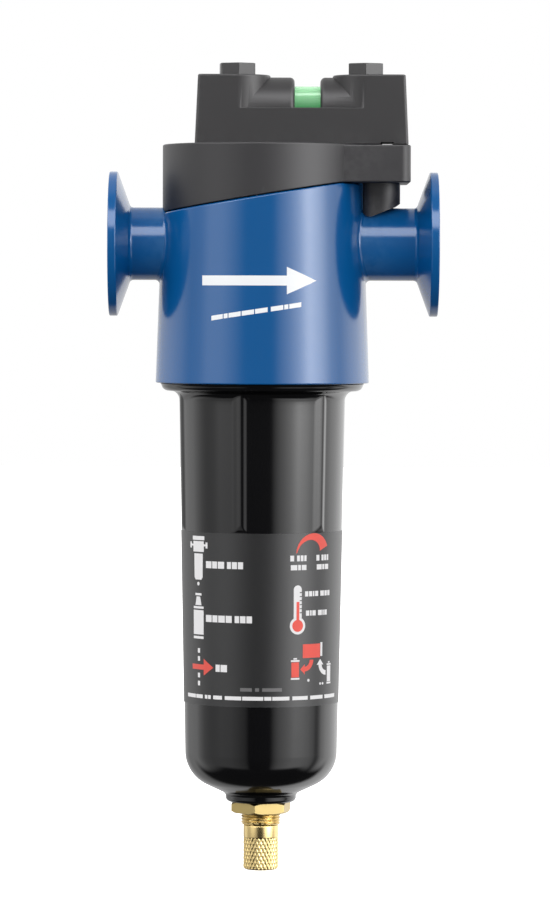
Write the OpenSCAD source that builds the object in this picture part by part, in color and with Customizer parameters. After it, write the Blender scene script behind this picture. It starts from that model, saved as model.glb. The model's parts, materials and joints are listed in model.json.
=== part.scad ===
// Compressed air filter: a cast head with two clamp ferrules, a screw-on bowl, a push-fit
// cartridge, a float drain and a sliding differential-pressure indicator.
// Millimetres. +X points to the outlet, -Y to the front and +Z up.
// The modules are drawn about the point where the port axis crosses the bowl axis, and place()
// moves them so that the part's origin is the centre of the inlet face.

/* [Ports] */
// Radius of the ferrule rim, 50.5 mm across for a 1 inch hygienic clamp
ferrule_r = 25.25; // [25:0.05:25.5]
// Thickness of the ferrule rim
ferrule_t = 2.85; // [2.6:0.05:3]
// Outside radius of the port necks
neck_r = 12.7; // [12.6:0.05:12.8]
// Radius of the port bores
port_r = 11.05; // [10.8:0.05:11.1]
// Distance from the bowl axis to the inlet face
inlet_x = 53.7; // [53:0.1:56]
// Distance from the bowl axis to the outlet face
outlet_x = 61.3; // [61:0.1:64]

/* [Head] */
// Radius of the head at its bottom edge
head_base_r = 37.4; // [37:0.1:38]
// Radius of the head level with its highest edge
head_top_r = 35.0; // [34.9:0.05:35.05]
// Height of the bottom edge
head_bottom = -48.6; // [-48.7:0.05:-48.6]
// Height of the sloping top joint on the bowl axis
joint_z = 16.6; // [16.4:0.1:16.8]
// Slope of the top joint, low on the inlet side
joint_slope = 9.29; // [9:0.01:9.5]
// Height at which the joint turns level on the outlet side
joint_level = 21.0; // [20.9:0.1:21.1]

/* [Head cover] */
// Radius of the cover
cover_r = 35.1; // [35:0.05:35.3]
// Height of the top of the cover
cover_top = 34.6; // [34.5:0.05:34.65]
// Half width of the arm that reaches over the outlet neck
arm_half = 21.2; // [20:0.1:22]
// Distance from the bowl axis to the end of the arm
arm_x = 51.3; // [50.8:0.1:52]

/* [Indicator] */
// Place of the inlet-side hollow screw along X
screw_in_x = -9.05; // [-9.2:0.05:-8.9]
// Place of the outlet-side hollow screw along X
screw_out_x = 35.9; // [35.8:0.05:36]
// Height of the underside of the housing
housing_bottom = 34.9; // [34.9:0.05:34.95]
// Height of the top of the housing
housing_top = 59.0; // [58.8:0.1:59.2]
// Half of the depth of the housing
housing_half = 11.6; // [11.4:0.05:11.8]
// Height of the sight tube axis
sight_z = 51.0; // [50.8:0.1:51.2]
// Outside radius of the sight tube
sight_r = 4.2; // [4.15:0.01:4.2]
// Left edge of the sight window
window_x0 = 11.0; // [10.5:0.1:11.5]
// Right edge of the sight window
window_x1 = 20.0; // [19.5:0.1:20.5]

/* [Bowl] */
// Radius of the collar under the head
collar_r = 35.7; // [35.5:0.05:35.8]
// Outside radius of the bowl wall at its top
bowl_top_r = 29.05; // [29:0.01:29.1]
// Outside radius of the bowl wall above the rounded bottom
bowl_low_r = 26.7; // [26.6:0.05:26.8]
// Height at which the wall turns into the rounded bottom
bowl_low_z = -178; // [-178.2:0.1:-177.8]
// Wall thickness of the bowl
bowl_wall = 3.0; // [2.9:0.05:3.1]
// Pitch of the bowl thread
bowl_pitch = 2.5; // [2.5]
// Number of grip ribs
rib_count = 6; // [4:1:8]

/* [Drain] */
// Radius of the threaded drain stem, M14 x 1
stem_r = 7.0; // [6.98:0.01:7]
// Width across the flats of the drain nut
nut_af = 19; // [18:0.5:19]
// Radius of the knurled drain knob
knob_r = 6.15; // [6.1:0.05:6.2]
// Height of the bottom of the knob
knob_bottom = -219.7; // [-220:0.1:-219]

/* [Hidden] */
$fn = 96;

// Spare length that carries a cut through the faces it opens
cut = 1;
// Top of the cast turrets, just below the housing
turret_top = housing_bottom - 0.1;
// Head bore at the bowl thread, and the bowl thread that runs in it
thread_bore_r = 31.0;
thread_r = thread_bore_r - 0.08;
thread_depth = 1.2;
// Land in the head that the bowl O-ring seals on
land_r = 29.05;
land_bottom = -34.0;
land_top = -28.5;
// Clean-air space round the cartridge, inside the head
clean_r = 27.5;
// Socket in the head that takes the cartridge spigot
socket_r = 12.0;
socket_mouth = -24.0;
spigot_r = socket_r - 0.08;
// Bowl, from its collar down to the drain boss
collar_z = head_bottom - 0.1;
collar_round = 2.7;
wall_top_z = -53.5;
knuckle_r = 12.8;
knuckle_x = bowl_low_r - knuckle_r;
bottom_angle = -65;
boss_r = 12.4;
boss_bottom = -195.8;
drain_floor = -190.0;
// Cartridge, from its cap down
cap_top = -27.0;
pack_top = -30.1;
pack_bottom = -120.9;
cap_r = 22.5;
// Float drain
flange_top = -186.9;
cage_top = -141.0;
stem_bottom = -203.9;
spigot_top = -197.5;
outlet_r = 4.3;
outlet_depth = 7.5;
outlet_roof = knob_bottom + outlet_depth;
pin_pocket_r = 3.0;
pin_pocket_roof = -210.5;
float_bottom = -172.0;
float_top = -147.5;
cross_pin_z = -150.0;

// Points along an arc round (cx, cy), from angle a0 to angle a1 in n steps
function arc(cx, cy, r, a0, a1, n = 8) =
    [for (i = [0:n]) [cx + r * cos(a0 + (a1 - a0) * i / n), cy + r * sin(a0 + (a1 - a0) * i / n)]];

// Outside radius of the tapered bowl wall at height z
function wall_r(z) =
    bowl_top_r + (bowl_low_r - bowl_top_r) * (z - wall_top_z) / (bowl_low_z - wall_top_z);

// A closed zigzag with n outer and n inner corners
function star(r_out, r_in, n) =
    [for (i = [0:2 * n - 1]) let (r = i % 2 == 0 ? r_out : r_in, a = 180 * i / n) [r * cos(a), r * sin(a)]];

// Profile points of n thread grooves between radius r and r + depth, downwards from z for a
// positive pitch and upwards for a negative one
function grooves(r, depth, z, pitch, n) =
    [for (i = [0:n - 1], p = [[0, 0], [depth, -0.28], [depth, -0.52], [0, -0.8]])
        [r + p[0], z - pitch * (i - p[1])]];

module revolve(points) {
    rotate_extrude() polygon(points);
}

module tube(r_out, r_in, z0, z1) {
    translate([0, 0, z0]) difference() {
        cylinder(r = r_out, h = z1 - z0);
        translate([0, 0, -cut]) cylinder(r = r_in, h = z1 - z0 + 2 * cut);
    }
}

module rod(r, z0, z1) {
    translate([0, 0, z0]) cylinder(r = r, h = z1 - z0);
}

// A rod along X
module x_rod(r, x0, x1) {
    translate([x0, 0, 0]) rotate([0, 90, 0]) cylinder(r = r, h = x1 - x0);
}

// An O-ring with its centre circle of radius r at height z
module o_ring(r, cord_r, z) {
    translate([0, 0, z]) rotate_extrude() translate([r, 0]) circle(r = cord_r, $fn = 32);
}

// Everything below the sloping joint, raised by gap, level on the outlet side
module below_joint(gap) {
    intersection() {
        translate([0, 0, joint_z + gap]) rotate([0, -joint_slope, 0])
            translate([-90, -90, -120]) cube([180, 180, 120]);
        translate([-80, -80, -90]) cube([160, 160, 90 + joint_level + gap]);
    }
}

// One clamp ferrule on its neck, with the face at x and the neck running back to the head
module ferrule(x) {
    cone_end = 7.2;
    groove = [[20.4, 0], [20.9, -1.3], [22.6, -1.3], [23.1, 0]];
    translate([x, 0, 0]) rotate([0, 90, 0]) revolve(concat([[0, 0]], groove, [[ferrule_r - 0.3, 0],
        [ferrule_r, -0.3], [ferrule_r, -ferrule_t], [neck_r + 1, -cone_end + 0.3], [neck_r, -cone_end - 0.6],
        [neck_r, 5 - x], [0, 5 - x]]));
}

// The lower bore of the head: lead-in, thread, O-ring land and clean-air space
module head_bore() {
    revolve(concat([[0, head_bottom - cut], [thread_bore_r + 1.6, head_bottom - cut]],
        grooves(thread_bore_r, thread_depth, head_bottom + 0.6, -bowl_pitch, 5),
        [[thread_bore_r, land_bottom], [land_r, land_bottom + 1], [land_r, land_top],
        [clean_r, land_top], [clean_r, 30], [0, 30]]));
}

// The inlet passage's casting: neck, elbow and the socket tube that hangs in the clean-air space
module elbow_wall() {
    x_rod(neck_r, -40, 0);
    sphere(r = 13.9);
    rod(socket_r + 1.6, socket_mouth, 0);
}

module head_casting() {
    roof_drop = 4.5;
    color("#1c5491") difference() {
        union() {
            intersection() {
                translate([0, 0, head_bottom]) cylinder(r1 = head_base_r, r2 = head_top_r - 0.1, h = 71.6);
                below_joint(0);
            }
            mirror([1, 0, 0]) ferrule(inlet_x);
            ferrule(outlet_x);
            translate([screw_in_x, 0, 0]) rod(7, 12.5, turret_top);
            translate([screw_out_x, 0, 0]) rod(6.5, 8, turret_top);
        }
        difference() {
            intersection() {
                head_bore();
                below_joint(-roof_drop);
            }
            elbow_wall();
        }
        x_rod(port_r, -inlet_x - cut, 0);
        sphere(r = 12.2);
        rod(11.4, socket_mouth - cut, 0);
        rod(socket_r, socket_mouth - cut, -12);
        x_rod(port_r, 18, outlet_x + cut);
        for (x = [screw_in_x, screw_out_x]) translate([x, 0, 0]) {
            rod(4.05, 20, turret_top + cut);
            rod(1.5, 5, 21);
        }
    }
}

// Plan of the arm, with rounded outer corners
module arm_plan() {
    round_r = 3.4;
    polygon(concat([[0, arm_half], [0, -arm_half]],
        arc(arm_x - round_r, -arm_half + round_r, round_r, -90, 0),
        arc(arm_x - round_r, arm_half - round_r, round_r, 0, 90)));
}

// The lug under the arm: a rounded block whose foot slopes up towards the outlet
module arm_lug() {
    lug_x = 41.3;
    lug_r = 6.7;
    lug_half = 9.9;
    small_r = 4;
    small_x = lug_x - lug_r + small_r;
    intersection() {
        translate([0, 0, 5]) linear_extrude(18)
            polygon(concat(arc(small_x, small_r - lug_half, small_r, 180, 270, 8),
                arc(lug_x, lug_r - lug_half, lug_r, 270, 360, 8),
                arc(lug_x, lug_half - lug_r, lug_r, 0, 90, 8),
                arc(small_x, lug_half - small_r, small_r, 90, 180, 8)));
        rotate([90, 0, 0]) translate([0, 0, -15]) linear_extrude(30)
            polygon(concat(arc(37.3, 12.4, 2.8, 190, 292), [[46.6, 13.2], [lug_x + lug_r + 1, 14.9],
                [lug_x + lug_r + 1, 24], [34, 24]]));
    }
}

module head_cover() {
    wall = 2.5;
    edge = 0.6;
    gap = 0.3;
    arm_top = 34.3;
    under_arm_x = 36;
    color("#464445") difference() {
        union() {
            difference() {
                union() {
                    revolve([[0, 5], [cover_r, 5], [cover_r, cover_top - edge], [cover_r - edge, cover_top],
                        [0, cover_top]]);
                    translate([0, 0, 10]) linear_extrude(arm_top - 10) arm_plan();
                }
                below_joint(gap);
            }
            difference() {
                arm_lug();
                rod(head_top_r + 0.7, 0, joint_level);
            }
        }
        difference() {
            rod(cover_r - wall, 0, cover_top - wall);
            translate([0, 0, joint_level + gap]) linear_extrude(wall)
                translate([under_arm_x, -30]) square([30, 60]);
        }
        translate([0, 0, joint_level + gap + wall]) linear_extrude(arm_top - joint_level - 2 * wall)
            polygon([[0, wall - arm_half], [arm_x - wall, wall - arm_half], [arm_x - wall, arm_half - wall],
                [0, arm_half - wall]]);
        translate([screw_in_x, 0, 0]) rod(7.3, 0, cover_top + cut);
        translate([screw_out_x, 0, 0]) rod(6.8, 0, cover_top + cut);
        x_rod(neck_r + gap, -40, 0);
        x_rod(neck_r + gap, 30, 60);
    }
}

// Plan of one end boss: square outside, rounded about the screw inside
module boss_plan(x, outer_x) {
    polygon(concat([[outer_x, housing_half], [outer_x, -housing_half]],
        arc(x, 0, housing_half, -90, outer_x < x ? 90 : -270, 24)));
}

// A block with two screw bosses and, between them, a half-round crown that the window cuts through
module indicator_housing() {
    ledge_z = 47.4;
    window_floor = 47.6;
    crown_r = 10.9;
    x0 = -23.8;
    x1 = 50.7;
    draft = 1.1;
    color("#464445") difference() {
        intersection() {
            rotate([90, 0, 0]) translate([0, 0, -20]) linear_extrude(40)
                polygon([[x0, housing_bottom], [x1, housing_bottom], [x1 - draft, housing_top],
                    [x0 + draft, housing_top]]);
            union() {
                translate([x0 - 1, -housing_half, 0]) cube([x1 - x0 + 2, 2 * housing_half, ledge_z]);
                linear_extrude(housing_top + cut) boss_plan(screw_in_x, x0 - 1);
                linear_extrude(housing_top + cut) boss_plan(screw_out_x, x1 + 1);
                translate([0, 0, ledge_z]) x_rod(crown_r, screw_in_x, screw_out_x);
            }
        }
        translate([window_x0, -20, window_floor]) cube([window_x1 - window_x0, 40, 20]);
        translate([0, 0, sight_z]) {
            x_rod(sight_r + 0.08, -1.0, 45);
            x_rod(5.5, 44, x1 + cut);
            x_rod(1.5, screw_in_x, 0);
            for (x = [4.0, 24.6]) x_rod(5.1, x, x + 1.8);
        }
        for (x = [screw_in_x, screw_out_x]) translate([x, 0, 0]) {
            rod(4.3, housing_bottom - cut, housing_top + cut);
            rod(6.0, housing_top - 1.0, housing_top + cut);
            tube(6.2, 4.5, housing_bottom - cut, housing_bottom + 1.45);
        }
        translate([41, -20, housing_bottom - cut]) cube([4.5, 40, cut + 0.6]);
    }
}

module sight_tube() {
    color("#b8e6b8", 0.5) translate([0, 0, sight_z]) difference() {
        x_rod(sight_r, -0.9, 30.9);
        x_rod(3.4, -2, 29.4);
        x_rod(1.6, 28, 32);
    }
}

module sight_tube_seals() {
    color("#151515") for (x = [4.9, 25.5])
        translate([x, 0, sight_z]) rotate([0, 90, 0]) o_ring(sight_r + 0.44, 0.42, 0);
}

// The sliding piston: a cup with a green band and, behind it, a red band
module indicator_piston() {
    color("#28a55f") translate([0, 0, sight_z]) difference() {
        union() {
            x_rod(3.33, 0.6, 20);
            x_rod(2.6, -0.8, 1);
        }
        x_rod(2.5, 8, 21);
        x_rod(1.8, -2, 0.6);
        translate([-2, -4, -0.6]) cube([2.6, 8, 1.2]);
    }
}

// The return spring, a helix swept in straight steps along X
module indicator_spring() {
    turns = 7;
    steps = 14;
    sides = 5;
    wire_r = 0.3;
    coil_r = 2.0;
    x0 = 8.4;
    length = 20.6;
    rings = turns * steps;
    points = [for (i = [0:rings], j = [0:sides - 1])
        let (turn = 360 * i / steps, side = 360 * j / sides, r = coil_r + wire_r * cos(side))
        [x0 + length * i / rings + wire_r * sin(side), r * cos(turn), sight_z + r * sin(turn)]];
    walls = [for (i = [0:rings - 1], j = [0:sides - 1], half = [0, 1])
        let (a = i * sides + j, b = i * sides + (j + 1) % sides)
        half == 0 ? [a, a + sides, b + sides] : [a, b + sides, b]];
    first = [for (j = [0:sides - 1]) j];
    last = [for (j = [0:sides - 1]) rings * sides + sides - 1 - j];
    color("silver") polyhedron(points, concat([first, last], walls), convexity = 10);
}

module indicator_end_plug() {
    color("#303032") translate([0, 0, sight_z]) difference() {
        x_rod(5.4, 44.1, 49.5);
        difference() {
            x_rod(6, 45.4, 47.2);
            x_rod(4.4, 45, 48);
        }
        translate([48.3, -4, -0.6]) cube([2, 8, 1.2]);
    }
}

module end_plug_o_ring() {
    color("#151515") translate([46.3, 0, sight_z]) rotate([0, 90, 0]) o_ring(4.95, 0.52, 0);
}

// Hollow hex screws: they clamp the indicator and carry the two pressures up to it
module hollow_screws() {
    head_h = 4.2;
    flats = 12;
    // Place along X and the angle that each head stopped at
    screws = [[screw_in_x, 35], [screw_out_x, 29]];
    color("#3c3b3c") for (screw = screws) translate([screw[0], 0, 0]) difference() {
        union() {
            intersection() {
                translate([0, 0, housing_top + 0.02]) rotate([0, 0, screw[1]])
                    cylinder(r = flats / 2 / cos(30), h = head_h, $fn = 6);
                translate([0, 0, housing_top]) cylinder(r1 = 12.2, r2 = 6.9, h = head_h + 0.02);
            }
            rod(4.0, 22, housing_top + 1);
        }
        rod(1.2, 21, 53);
        translate([0, 0, sight_z]) x_rod(0.9, -6, 6);
    }
}

module screw_seals() {
    color("#151515") for (x = [screw_in_x, screw_out_x])
        translate([x, 0, 0]) tube(5.8, 4.1, housing_top - 0.95, housing_top - 0.02);
}

module turret_seals() {
    color("#151515") for (x = [screw_in_x, screw_out_x])
        translate([x, 0, 0]) o_ring(5.35, 0.7, housing_bottom + 0.67);
}

// Outline of a grip rib over the wall, from its gentle side to its steep side and back inside
function rib_plan(r) = let (height = 0.76, gentle = 3.9, steep = 2.6, n = 7,
    sides = concat([for (i = [1:n]) [-gentle * (1 - i / n), i / n]],
        [for (i = [1:n - 1]) [steep * i / n, 1 - i / n]]))
    concat([for (p = sides) let (a = p[0] / r * 180 / PI, h = height * p[1] * p[1] * (3 - 2 * p[1]))
        [(r + h) * cos(a), (r + h) * sin(a)]], [[r - 1.5, steep], [r - 1.5, -gentle]]);

// One grip rib, which follows the tapered wall and ends in a short rounded ramp
module bowl_rib() {
    top = -53;
    low = -100.2;
    ramp = 2.8;
    intersection() {
        translate([0, 0, low]) linear_extrude(top - low, scale = wall_r(top) / wall_r(low))
            polygon(rib_plan(wall_r(low)));
        revolve(concat([[0, top], [wall_r(top) + 1, top]],
            [for (t = [0:0.2:1]) let (z = low + ramp * (1 - t)) [wall_r(z) + 0.85 * (1 - t * t) - 0.05, z]],
            [[0, low]]));
    }
}

module bowl() {
    first_rib = -104.2;
    fillet_r = 3.3;
    neck_in_r = 25.0;
    neck_out_r = land_r - 0.08;
    neck = [[neck_in_r, -29.0], [neck_out_r - 0.5, -29.0], [neck_out_r, -29.5], [neck_out_r, -30.6],
        [27.2, -30.6], [27.2, -33.0], [neck_out_r, -33.0], [neck_out_r, -34.6], [thread_r, -35.6]];
    collar = concat([[thread_r - 1, collar_z + 0.6], [thread_r - 1, collar_z]],
        arc(collar_r - collar_round, collar_z, collar_round, 0, -90),
        arc(bowl_top_r + fillet_r, -51.5 - fillet_r, fillet_r, 90, 180, 6));
    bottom = concat(arc(knuckle_x, bowl_low_z, knuckle_r, 0, bottom_angle, 12),
        [[boss_r, -192.82], [boss_r, -193.2]], arc(boss_r - 1.6, boss_bottom + 1.6, 1.6, -20, -90, 5),
        [[7.15, boss_bottom], [7.15, drain_floor], [11.35, drain_floor]]);
    inside = concat(arc(knuckle_x, bowl_low_z, knuckle_r - bowl_wall, bottom_angle, 0, 10),
        [[bowl_top_r - bowl_wall, wall_top_z - 0.5], [neck_in_r, -50]]);
    color("#0f0f11") union() {
        revolve(concat(neck, grooves(thread_r, -thread_depth, -37.2, bowl_pitch, 4), collar, bottom, inside));
        for (i = [0:rib_count - 1]) rotate([0, 0, first_rib + 360 / rib_count * i]) bowl_rib();
    }
}

module bowl_o_ring() {
    color("#151515") o_ring(28.11, 0.88, -31.8);
}

// The printed film round the bowl, with a butt seam at the back
module bowl_label() {
    top = -99.7 - 0.6;
    low = -160.5;
    seam = 2;
    near = 0.02;
    film = 0.15;
    color("#222224") rotate([0, 0, 90 + seam / 2]) rotate_extrude(angle = 360 - seam)
        polygon([[wall_r(top) + near, top], [wall_r(top) + near + film, top],
            [wall_r(low) + near + film, low], [wall_r(low) + near, low]]);
}

module cartridge_top_cap() {
    bore_r = 8.9;
    color("#26262a") revolve([[bore_r, -14.0], [spigot_r - 0.8, -14.0], [spigot_r, -15.5], [spigot_r, -17.6],
        [10.3, -17.6], [10.3, -19.8], [spigot_r, -19.8], [spigot_r, cap_top], [cap_r - 0.5, cap_top],
        [cap_r, cap_top - 0.5], [cap_r, -35], [21.7, -35], [21.7, pack_top + 0.1], [bore_r, pack_top + 0.1]]);
}

module cartridge_o_ring() {
    color("#151515") o_ring(11.14, 0.82, -18.7);
}

// A perforated tube with n pairs of opposite slots in each of several rows
module slotted_core(r_out, r_in, n, rows, slot_w) {
    pitch = (pack_top - pack_bottom) / rows;
    difference() {
        tube(r_out, r_in, pack_bottom, pack_top);
        for (row = [0:rows - 1], i = [0:n - 1])
            rotate([0, 0, 180 / n * (i + row % 2 / 2)])
                translate([-r_out - cut, -slot_w / 2, pack_bottom + pitch * (row + 0.2)])
                    cube([2 * r_out + 2 * cut, slot_w, pitch * 0.6]);
    }
}

module cartridge_inner_core() {
    color("silver") slotted_core(9.8, 9.0, 3, 6, 5);
}

// The pleated filter sheet
module cartridge_media() {
    pleats = 24;
    color("white") translate([0, 0, pack_bottom + 0.1]) linear_extrude(pack_top - pack_bottom - 0.2)
        difference() {
            polygon(star(17.5, 11.3, pleats));
            polygon(star(16.4, 10.2, pleats));
        }
}

module cartridge_outer_core() {
    color("silver") slotted_core(18.6, 17.8, 4, 6, 7);
}

module cartridge_drain_sleeve() {
    color("#7a3030") tube(21.5, 18.8, pack_bottom + 0.1, pack_top - 0.1);
}

module cartridge_bottom_cap() {
    low = -125;
    color("#26262a") revolve([[0, low + 1.2], [8, low + 1.2], [9, low], [cap_r - 0.5, low],
        [cap_r, low + 0.5], [cap_r, -116], [21.7, -116], [21.7, pack_bottom - 0.1], [0, pack_bottom - 0.1]]);
}

module drain_stem() {
    seal_face = -189.9;
    color("#d7c382") revolve(concat([[4.05, flange_top], [10.5, flange_top], [10.8, flange_top - 0.3],
        [10.8, seal_face], [10.1, seal_face], [10.1, -188.25], [7.9, -188.25], [7.9, seal_face],
        [stem_r, seal_face], [stem_r, -196.4]],
        grooves(stem_r, -0.5, -196.6, 1, 7), [[stem_r - 0.4, stem_bottom], [4.95, stem_bottom],
        [4.95, -195.0], [2.8, -195.0], [2.6, -195.15], [1.8, -195.0], [1.8, -189.3], [4.05, -189.3]]));
}

module drain_o_ring() {
    color("#151515") o_ring(9.0, 0.82, -189.14);
}

module drain_nut() {
    turn = 18;
    nut_top = boss_bottom - 0.03;
    nut_h = 3.8;
    tip_r = nut_af / 2 / cos(30);
    color("#d7c382") difference() {
        intersection() {
            translate([0, 0, nut_top - nut_h]) rotate([0, 0, turn]) cylinder(r = tip_r, h = nut_h, $fn = 6);
            revolve([[0, nut_top - nut_h - 0.01], [tip_r - 1.1, nut_top - nut_h - 0.01],
                [tip_r + 0.2, nut_top - nut_h + 0.8], [tip_r + 0.2, nut_top - 0.8],
                [tip_r - 1.1, nut_top + 0.01], [0, nut_top + 0.01]]);
        }
        rod(stem_r + 0.05, nut_top - nut_h - cut, nut_top + cut);
    }
}

// The knurled knob: its hollow spigot runs in the stem, its mouth takes a drain line, and a pocket
// above the mouth holds the pin's head
module drain_knob() {
    knurl_top = -208.4;
    flutes = 24;
    color("#d7c382") difference() {
        revolve([[1.58, spigot_top], [4.9, spigot_top], [4.9, stem_bottom - 0.1],
            [knob_r - 0.3, stem_bottom - 0.1], [knob_r, stem_bottom - 0.4], [knob_r, knob_bottom + 1.2],
            [knob_r - 0.5, knob_bottom + 0.4], [knob_r - 1.2, knob_bottom], [outlet_r, knob_bottom],
            [outlet_r, outlet_roof],
            [pin_pocket_r, outlet_roof], [pin_pocket_r, pin_pocket_roof], [1.58, pin_pocket_roof]]);
        for (i = [0:flutes - 1]) rotate([0, 0, 360 / flutes * i])
            translate([knob_r, 0, knob_bottom - cut]) rotate([0, 0, 45])
                translate([-0.2, -0.2, 0]) cube([1, 1, knurl_top - knob_bottom + cut]);
        for (i = [0:2])
            rotate([0, 0, 120 * i]) translate([3.3, 0, 0]) rod(0.9, outlet_roof - cut, spigot_top + cut);
    }
}

module drain_pin() {
    color("#d7c382") revolve([[0, -196.1], [3.2, -196.1], [3.2, spigot_top + 0.1], [1.5, spigot_top + 0.1],
        [1.5, pin_pocket_roof - 0.1], [2.4, pin_pocket_roof - 0.1], [2.4, pin_pocket_roof - 1.3],
        [0, pin_pocket_roof - 1.3]]);
}

module drain_valve_seal() {
    color("#151515") rod(3.1, -196.08, -195.25);
}

module float_guide() {
    slot_w = 2.2;
    color("#e8e6e0") difference() {
        revolve([[1.2, -189.1], [4.0, -189.1], [4.0, -185.2], [8.5, -185.2], [8.5, -184.0], [5.0, -184.0],
            [5.0, cage_top - 0.1], [3.5, cage_top - 0.1], [3.5, -185.0], [1.2, -187.0]]);
        translate([-8, -slot_w / 2, cross_pin_z - 1.2]) cube([16, slot_w, 8.4]);
        for (a = [0, 90]) rotate([0, 0, a + 45]) translate([0, 0, -181]) x_rod(1.2, -8, 8);
    }
}

// The cage that keeps dirt and the cartridge away from the float
module float_cage() {
    cage_r = 17.6;
    wall = 0.9;
    slots = 4;
    color("#e8e6e0") difference() {
        revolve([[5.3, -186.8], [cage_r, -186.8], [cage_r, cage_top], [cage_r - wall, cage_top],
            [cage_r - wall, -185.3], [5.3, -185.3]]);
        for (i = [0:slots - 1]) rotate([0, 0, 180 / slots * i])
            translate([-20, -2, -181]) cube([40, 4, 32]);
    }
}

module float_cage_cap() {
    color("#e8e6e0") difference() {
        rod(17.6, cage_top + 0.05, cage_top + 1.6);
        for (i = [0:5]) rotate([0, 0, 60 * i]) translate([11, 0, 0]) rod(3.2, cage_top - cut, cage_top + 3);
    }
}

module float() {
    color("#f2f0ea") difference() {
        revolve([[5.08, float_bottom], [14.5, float_bottom], [15.5, float_bottom + 1], [15.5, float_top - 1],
            [14.5, float_top], [5.08, float_top]]);
        translate([0, 0, cross_pin_z]) x_rod(1.03, -16, 16);
    }
}

module float_needle() {
    color("silver") difference() {
        revolve([[0, -186.6], [0.6, -186.6], [1.5, -185.2], [1.5, -154], [3.2, -153], [3.2, -147],
            [0, -147]]);
        translate([0, 0, cross_pin_z]) x_rod(1.03, -16, 16);
    }
}

module float_cross_pin() {
    color("silver") translate([0, 0, cross_pin_z]) x_rod(1.0, -14.8, 14.8);
}

// Moves a piece to the part's own frame, with the origin at the centre of the inlet face
module place() {
    translate([inlet_x, 0, 0]) children();
}

place() head_casting();
place() head_cover();
place() indicator_housing();
place() sight_tube();
place() sight_tube_seals();
place() indicator_piston();
place() indicator_spring();
place() indicator_end_plug();
place() end_plug_o_ring();
place() hollow_screws();
place() screw_seals();
place() turret_seals();
place() bowl();
place() bowl_o_ring();
place() bowl_label();
place() cartridge_top_cap();
place() cartridge_o_ring();
place() cartridge_inner_core();
place() cartridge_media();
place() cartridge_outer_core();
place() cartridge_drain_sleeve();
place() cartridge_bottom_cap();
place() drain_stem();
place() drain_o_ring();
place() drain_nut();
place() drain_knob();
place() drain_pin();
place() drain_valve_seal();
place() float_guide();
place() float_cage();
place() float_cage_cap();
place() float();
place() float_needle();
place() float_cross_pin();
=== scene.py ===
"""Looks of the compressed air filter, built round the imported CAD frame.

Shapes are drawn in millimetres about the point where the port axis crosses the bowl axis, with +X to the
outlet, -Y to the front and +Z up. add_piece() moves them to the frame and to metres.
"""

import json
import math

import bmesh
import bpy
import numpy as np
from mathutils import Matrix, Vector


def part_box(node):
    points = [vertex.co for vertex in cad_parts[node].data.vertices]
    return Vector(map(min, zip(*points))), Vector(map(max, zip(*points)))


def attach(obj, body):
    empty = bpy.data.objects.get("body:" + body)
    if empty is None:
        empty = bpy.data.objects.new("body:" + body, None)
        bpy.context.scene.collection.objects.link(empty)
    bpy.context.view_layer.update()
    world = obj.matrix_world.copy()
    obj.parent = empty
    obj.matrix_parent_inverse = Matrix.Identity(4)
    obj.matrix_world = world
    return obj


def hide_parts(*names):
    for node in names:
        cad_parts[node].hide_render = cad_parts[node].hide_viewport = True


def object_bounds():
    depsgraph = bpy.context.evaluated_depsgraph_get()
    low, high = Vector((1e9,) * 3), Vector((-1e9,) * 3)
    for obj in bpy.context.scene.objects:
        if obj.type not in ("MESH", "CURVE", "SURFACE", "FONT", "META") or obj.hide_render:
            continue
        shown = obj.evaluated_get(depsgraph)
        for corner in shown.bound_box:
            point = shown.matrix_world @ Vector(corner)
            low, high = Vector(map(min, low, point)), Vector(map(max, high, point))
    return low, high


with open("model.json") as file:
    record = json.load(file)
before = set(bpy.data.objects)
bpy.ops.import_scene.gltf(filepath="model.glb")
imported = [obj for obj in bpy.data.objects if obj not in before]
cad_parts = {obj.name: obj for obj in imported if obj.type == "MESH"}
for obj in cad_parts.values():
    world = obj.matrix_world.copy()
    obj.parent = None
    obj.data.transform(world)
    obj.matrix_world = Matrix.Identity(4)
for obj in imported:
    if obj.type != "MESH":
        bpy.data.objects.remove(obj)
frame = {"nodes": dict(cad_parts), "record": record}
cad_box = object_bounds()
nodes = frame["nodes"]

MM = 0.001

ring_low, ring_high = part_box("bowl_o_ring")
AXIS_X = (ring_low.x + ring_high.x) / 2 / MM

# Head
HEAD_BOTTOM = -48.6
HEAD_BASE_R = 37.4
HEAD_TOP_R = 34.9
HEAD_CONE_TOP = 23.0
JOINT_Z = 16.6
JOINT_SLOPE = math.tan(math.radians(9.29))
JOINT_LEVEL = 21.0
ROOF_DROP = 4.5
CLEAN_R = 27.5
LAND_R = 29.05
LAND_BOTTOM = -34.0
LAND_TOP = -28.5
THREAD_BORE_R = 31.0
THREAD_DEPTH = 1.2
BOWL_PITCH = 2.5

# Ports
PORT_R = 11.05
NECK_R = 12.7
FERRULE_R = 25.25
FERRULE_T = 2.85
INLET_X = -53.7
OUTLET_X = 61.3

# Cover and indicator
COVER_R = 35.1
COVER_TOP = 34.6
COVER_WALL = 2.5
COVER_GAP = 0.3
ARM_HALF = 21.2
ARM_X = 51.3
ARM_TOP = 34.3
TURRET_TOP = 34.8
SCREWS_X = (-9.05, 35.9)
TURRETS_R = (7.0, 6.5)
TURRET_HOLES_R = (7.3, 6.8)
TURRET_BORE_R = 4.05
HOUSING_X = (-23.8, 50.7)
HOUSING_Z = (34.9, 59.0)
HOUSING_HALF = 11.6
HOUSING_DRAFT = 1.1
LEDGE_Z = 47.4
CROWN_R = 10.9
SIGHT_Z = 51.0
SIGHT_R = 4.2
WINDOW_X = (11.0, 20.0)
RED_END = 10.8

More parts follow.
